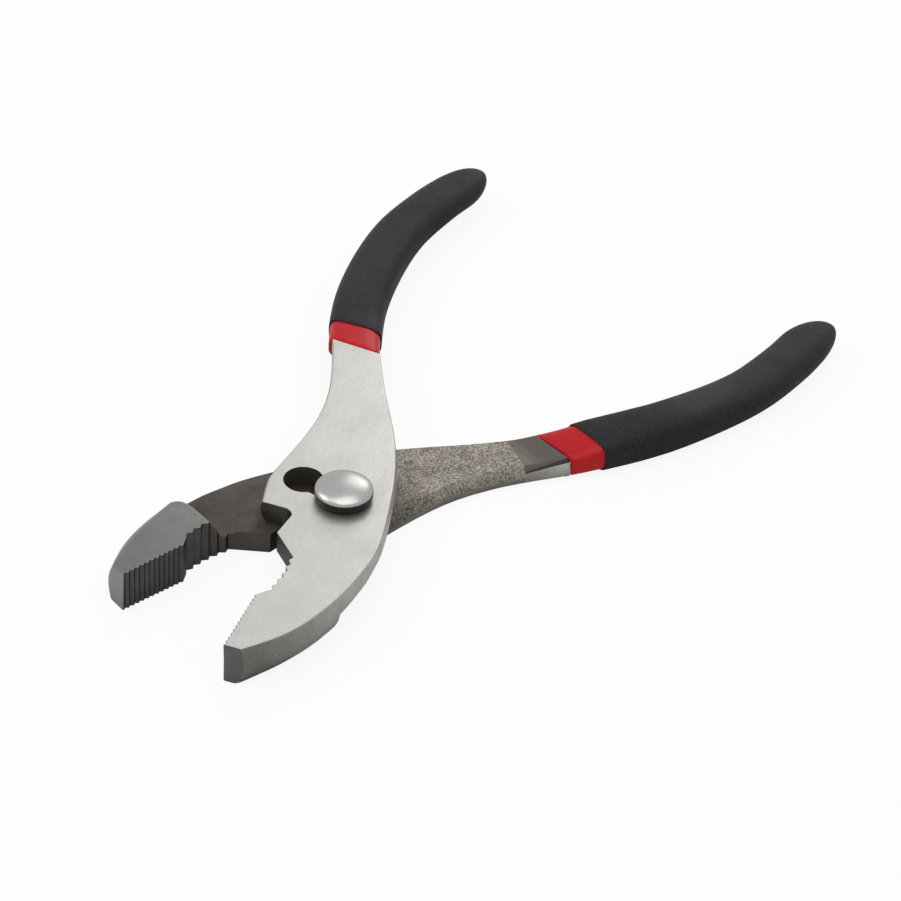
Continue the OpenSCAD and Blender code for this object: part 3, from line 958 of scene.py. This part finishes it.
@dataclass
class PivotBolt:
    """The keyed bolt with its domed head, the washer under it and the nut in its pocket."""

    head_d: float = 13.8
    head_rim: float = 1.4
    dome_h: float = 1.9
    head_z: float = 12.0
    shank_r: float = 4.75
    flats_w: float = 6.4
    thread_d: float = 6.0
    nut_sink: float = 0.1
    nut_t: float = 2.4
    nut_af: float = 13.0
    washer_d: float = 13.2
    washer_t: float = 0.8
    washer_z: float = 11.15
    run_clear: float = 0.05
    slack: float = 0.01
    nut_points: int = 72
    nut_chamfer_deg: float = 30.0
    nut_edge: float = 0.4
    key_deg: float = REST_ANGLE / 2 + math.degrees(math.atan2(SLIP_ACROSS, SLIP_BACK))

    def build_bolt(self) -> bpy.types.Object:
        """Turn the head and shank in one, then mill the two flats.

        Returns:
            The finished bolt.
        """
        head_r, foot = self.head_d / 2, self.nut_sink + self.nut_t
        edge = 0.35
        dome = [
            (head_r * math.cos(a), self.head_z + self.head_rim + self.dome_h * math.sin(a))
            for a in (math.pi / 2 * k / 20 for k in range(1, 20))
        ]
        rim = [
            (head_r - edge + edge * math.cos(a), self.head_z + edge - edge * math.sin(a))
            for a in (math.pi / 2 * (1 - k / 4) for k in range(5))
        ]
        thread_r = self.thread_d / 2
        profile = [
            (0.0, self.nut_sink), (thread_r - 0.5, self.nut_sink), (thread_r, self.nut_sink + 0.5),
            (thread_r, foot), (self.shank_r, foot), (self.shank_r, self.head_z),
        ]
        profile += rim + [(head_r, self.head_z + self.head_rim)] + dome
        profile.append((0.0, self.head_z + self.head_rim + self.dome_h))
        bm = turned(profile)
        self.mill_flats(bm, foot)
        # Faces below the dome take the dark finish: the head's rim is painted as the shaded band under the
        # dome
        for face in bm.faces:
            up = face.calc_center_median().z / MM
            face.material_index = 0 if up > self.head_z + self.head_rim - 0.1 else 1
        return mesh_object(bm, "bolt", 40.0)

    def mill_flats(self, bm: bmesh.types.BMesh, foot: float) -> None:
        """Press the shank below the washer flat on two sides, keyed to the slot.

        Args:
            bm: Mesh of the bolt.
            foot: Height at which the shank starts.
        """
        key = Matrix.Rotation(math.radians(self.key_deg), 3, "Z")
        half = self.flats_w / 2 * MM
        for vert in bm.verts:
            height = vert.co.z / MM
            if foot - self.slack < height < self.head_z - self.slack and vert.co.xy.length > half:
                local = key.inverted() @ vert.co
                local.y = max(-half, min(half, local.y))
                vert.co = key @ local

    def build_washer(self) -> bpy.types.Object:
        """Turn the washer as a ring with broken edges.

        Returns:
            The finished washer.
        """
        inner, outer, edge = self.shank_r + self.run_clear, self.washer_d / 2, 0.12
        low, high = self.washer_z, self.washer_z + self.washer_t
        profile = [
            (inner, low), (outer - edge, low), (outer, low + edge), (outer, high - edge),
            (outer - edge, high), (inner, high),
        ]
        return mesh_object(turned(profile), "washer", 30.0)

    def build_nut(self) -> bpy.types.Object:
        """Sweep the nut round its bore, with both ends chamfered off its corners.

        Returns:
            The finished nut.
        """
        flat_r, bore_r = self.nut_af / 2, self.thread_d / 2 + self.run_clear
        low, high = self.nut_sink, self.nut_sink + self.nut_t
        corner = [self.hex_r(math.tau * i / self.nut_points) for i in range(self.nut_points)]
        even = [1.0] * self.nut_points

        def ring(radii: Sequence[float], size: float, height: Callable[[float], float]) -> list[Vector]:
            """Lay one ring of the nut.

            Args:
                radii: A radius for each point.
                size: What they are all multiplied by.
                height: Height of a point, from its radius.

            Returns:
                The ring's points, in row metres.
            """
            turn = -math.radians(REST_ANGLE / 2)
            points = []
            for i, r in enumerate(radii):
                a = math.tau * i / self.nut_points + turn
                points.append(Vector((r * size * math.cos(a), r * size * math.sin(a), height(r * size))) * MM)
            return points

        drop = math.tan(math.radians(self.nut_chamfer_deg))
        edge, crown_r = self.nut_edge, flat_r - self.nut_edge / 2
        rings = [
            ring(even, bore_r, lambda r: high - edge), ring(even, bore_r, lambda r: low + edge),
            ring(even, bore_r + edge, lambda r: low), ring(even, crown_r, lambda r: low),
            ring(corner, 1.0, lambda r: low + (r - crown_r) * drop),
            ring(corner, 1.0, lambda r: high - (r - crown_r) * drop),
            ring(even, crown_r, lambda r: high), ring(even, bore_r + edge, lambda r: high),
        ]
        return mesh_object(sweep(rings, joined=True), "nut", 25.0)

    def hex_r(self, angle: float) -> float:
        """Distance of the nut's outline from its axis at an angle."""
        return self.nut_af / 2 / math.cos((angle % (math.pi / 3)) - math.pi / 6)

    def build(self) -> list[bpy.types.Object]:
        """Make the three pieces and seat them on their bodies.

        Returns:
            Bolt, washer and nut.
        """
        # A turned and polished head is pale and mirrors the lamps as soft patches
        satin = SteelFinish("bolt_steel_turned_satin", "#959492", "#ACABA9", (0.24, 0.32), 0.3, 5.0, 0.004)
        # Black oxide makes the rest dark and dull; on the head's rim and the washer that dark is also painted
        # shade for the band under the bright dome
        dark = SteelFinish("bolt_steel_black_oxide_painted_shade", "#2A2927", "#403E3B", (0.38, 0.5), 0.4, 4.0, 0.01)
        bolt, washer, nut = self.build_bolt(), self.build_washer(), self.build_nut()
        satin_made, oxide_and_painted_shade = satin.make(), dark.make()
        bolt.data.materials.append(satin_made)
        for piece in (bolt, washer, nut):
            piece.data.materials.append(oxide_and_painted_shade)
        seats = (
            (bolt, "lower", "pivot_bolt", "bolt_steel"),
            (washer, "washer", "pivot_washer", "dark_steel"),
            (nut, "lower", "pivot_nut", "dark_steel"),
        )
        for piece, body, node, slot in seats:
            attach(piece, body)
            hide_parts(node)
        return [bolt, washer, nut]


@dataclass
class Studio:
    """Floor, light and camera of a plain product shot on white."""

    eye: tuple[float, float, float] = (0.5300, 0.3845, 0.53425)
    target: tuple[float, float, float] = (-0.0420, 0.0009, 0.0)
    roll_deg: float = 3.5
    lens: float = 143.84
    ambient: float = 0.5
    floor_r: float = 1.2
    floor_drop: float = 0.0001
    floor_white: float = 0.9

    def build_floor(self) -> None:
        """Lay a pale round floor that keeps a faint shadow and shows near white to the eye."""
        bm = bmesh.new()
        bmesh.ops.create_circle(bm, cap_ends=True, segments=96, radius=self.floor_r)
        bmesh.ops.translate(bm, verts=bm.verts, vec=(0.0, 0.0, -self.floor_drop))
        floor = mesh_object(bm, "floor", 30.0)
        material = bpy.data.materials.new("paper_matt_white")
        material.use_nodes = True
        tree = material.node_tree
        tree.nodes.clear()
        paper = add(tree, "ShaderNodeBsdfDiffuse", None, {"Color": linear("#F2F2F1")})
        white = add(tree, "ShaderNodeEmission", None, {"Color": (1.0, 1.0, 1.0, 1.0), "Strength": 1.0})
        path = add(tree, "ShaderNodeLightPath")
        seen = add(tree, "ShaderNodeMath", {"operation": "MULTIPLY"}, {
            0: path.outputs["Is Camera Ray"], 1: self.floor_white,
        })
        mixed = add(tree, "ShaderNodeMixShader", None, {
            0: seen.outputs["Value"], 1: paper.outputs["BSDF"], 2: white.outputs["Emission"],
        })
        add(tree, "ShaderNodeOutputMaterial", None, {"Surface": mixed.outputs["Shader"]})
        floor.data.materials.append(material)

    def build_world(self) -> None:
        """White to the eye and in reflections, a plain level of fill otherwise."""
        world = bpy.data.worlds.new("studio_white")
        bpy.context.scene.world = world
        world.use_nodes = True
        tree = world.node_tree
        tree.nodes.clear()
        path = add(tree, "ShaderNodeLightPath")
        shiny = add(tree, "ShaderNodeMath", {"operation": "MAXIMUM"}, {
            0: path.outputs["Is Camera Ray"], 1: path.outputs["Is Glossy Ray"],
        })
        shown = add(tree, "ShaderNodeMath", {"operation": "MAXIMUM"}, {
            0: shiny.outputs["Value"], 1: path.outputs["Is Transmission Ray"],
        })
        level = add(tree, "ShaderNodeMapRange", None, {
            "Value": shown.outputs["Value"], "To Min": self.ambient, "To Max": 1.0,
        })
        sky = add(tree, "ShaderNodeBackground", None, {
            "Color": (1.0, 1.0, 1.0, 1.0), "Strength": level.outputs["Result"],
        })
        add(tree, "ShaderNodeOutputWorld", None, {"Surface": sky.outputs["Background"]})

    def add_lamp(self, name: str, spot: Sequence[float], size: float, watts: float) -> None:
        """Hang one soft box that looks at the tool.

        Args:
            name: Name of the lamp.
            spot: Where it hangs, in row metres.
            size: Side of its square face.
            watts: Its power.
        """
        lamp = bpy.data.lights.new(name, "AREA")
        lamp.size = size
        lamp.energy = watts
        box = bpy.data.objects.new(name, lamp)
        box.visible_camera = False
        box.location = spot
        box.rotation_mode = "QUATERNION"
        box.rotation_quaternion = (Vector(self.target) - Vector(spot)).to_track_quat("-Z", "Y")
        bpy.context.scene.collection.objects.link(box)

    def build_camera(self) -> None:
        """Set the camera where the photograph was taken from."""
        data = bpy.data.cameras.new("camera")
        data.lens = self.lens
        data.sensor_width = 36.0
        data.clip_start = 0.05
        data.clip_end = 20.0
        camera = bpy.data.objects.new("camera", data)
        look = (Vector(self.target) - Vector(self.eye)).to_track_quat("-Z", "Y")
        camera.rotation_mode = "QUATERNION"
        roll = Matrix.Rotation(math.radians(self.roll_deg), 3, "Z").to_quaternion()
        camera.rotation_quaternion = look @ roll
        camera.location = self.eye
        bpy.context.scene.collection.objects.link(camera)
        bpy.context.scene.camera = camera

    def build(self) -> None:
        """Set up the whole studio."""
        bpy.context.scene.view_settings.view_transform = "Standard"
        self.build_camera()
        self.build_floor()
        self.build_world()
        self.add_lamp("top_soft_box", (0.0, 0.1, 1.2), 1.0, 5.0)
        self.add_lamp("left_soft_box", (0.3, -0.7, 0.8), 0.45, 2.2)
        self.add_lamp("back_soft_box", (-0.9, -0.33, 0.56), 0.4, 1.2)


def main() -> None:
    """Build the studio and the dressed tool, then log each piece's face count."""
    logging.basicConfig(level=logging.INFO, format="%(name)s: %(message)s")
    Studio().build()
    shape = GripSweep()
    # Plasticised vinyl with a matt, faintly pebbled skin that hardly mirrors
    black = DipFinish(
        "vinyl_dip_matt_black", "#1A1A1C", "#343436", speck_mm=0.45, speck_share=0.4,
        roughness=(0.50, 0.64), bump_mm=0.012, gloss=0.15, coat=0.0,
    ).make()
    # The same vinyl left smooth from the dip, with a soft gloss
    red = DipFinish(
        "vinyl_dip_gloss_red", "#B4121B", "#BF1B24", speck_mm=2.0, speck_share=0.3,
        roughness=(0.30, 0.38), bump_mm=0.004, gloss=0.14, coat=0.03,
    ).make()
    for place, tip_x in ((UPPER, 58.8), (LOWER, 57.7)):
        half = Forging(place, tip_x)
        piece = half.build()
        half.dress(piece)
        LOG.info("%s: %d faces", piece.name, len(piece.data.polygons))
        liner = Coat(
            shape, place, "red_coat", f"{place.name}_grip_liner", "red_dip",
            front_x=COLLAR_X, outer=0.4, inner=1.57, lip=0.35,
        ).build()
        liner.data.materials.append(red)
        grip = Coat(
            shape, place, "black_coat", f"{place.name}_grip", "black_dip",
            front_x=COLLAR_X + RED_SHOWN, outer=0.02, inner=0.37, lip=0.5,
        ).build()
        grip.data.materials.append(black)
        for coat in (liner, grip):
            LOG.info("%s: %d faces", coat.name, len(coat.data.polygons))
    for piece in PivotBolt().build():
        LOG.info("%s: %d faces", piece.name, len(piece.data.polygons))


if __name__ == "__main__":
    main()
